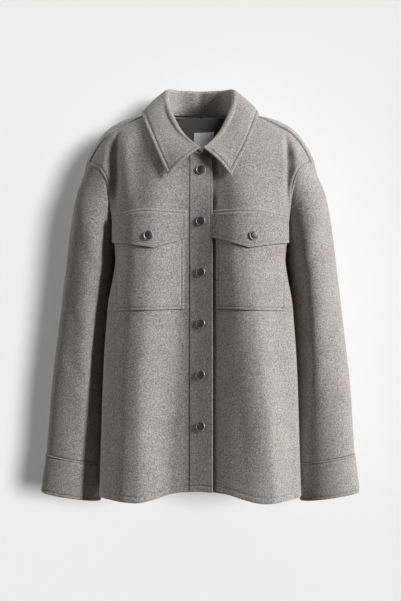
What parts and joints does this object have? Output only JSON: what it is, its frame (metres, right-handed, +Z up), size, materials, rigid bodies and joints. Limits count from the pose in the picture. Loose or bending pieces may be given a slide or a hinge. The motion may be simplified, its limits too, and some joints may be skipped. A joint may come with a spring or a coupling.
{
  "type": "shirt jacket",
  "caption": "Oversized wool shirt jacket with a pointed collar, snap band, flap chest pockets, dropped shoulders and plain cuffs, filled out and hollow.",
  "frame": {"origin": "middle of the neck opening, level with the points where the shoulder seams meet the neck", "axes": "+Z up along the body, -Y out of the front, +X to the left of a wearer"},
  "size_m": [0.589, 0.2683, 0.7647],
  "materials": {
    "wool": "fulled melange wool",
    "facing": "matte twill",
    "label": "matte woven",
    "snap_metal": "gunmetal"
  },
  "bodies": {
    "root": {"front_right": "wool", "front_left": "wool", "button_band": "wool", "back": "wool", "sleeve_right": "wool", "sleeve_left": "wool", "cuff_right": "wool", "cuff_left": "wool", "collar": "wool", "pocket_right": "wool", "pocket_left": "wool", "flap_right": "wool", "flap_left": "wool", "facing_right": "facing", "facing_left": "facing", "neck_label": "label", "snap_1": "snap_metal", "snap_2": "snap_metal", "snap_3": "snap_metal", "snap_4": "snap_metal", "snap_5": "snap_metal", "snap_6": "snap_metal", "flap_snap_right": "snap_metal", "flap_snap_left": "snap_metal"}
  },
  "joints": []
}
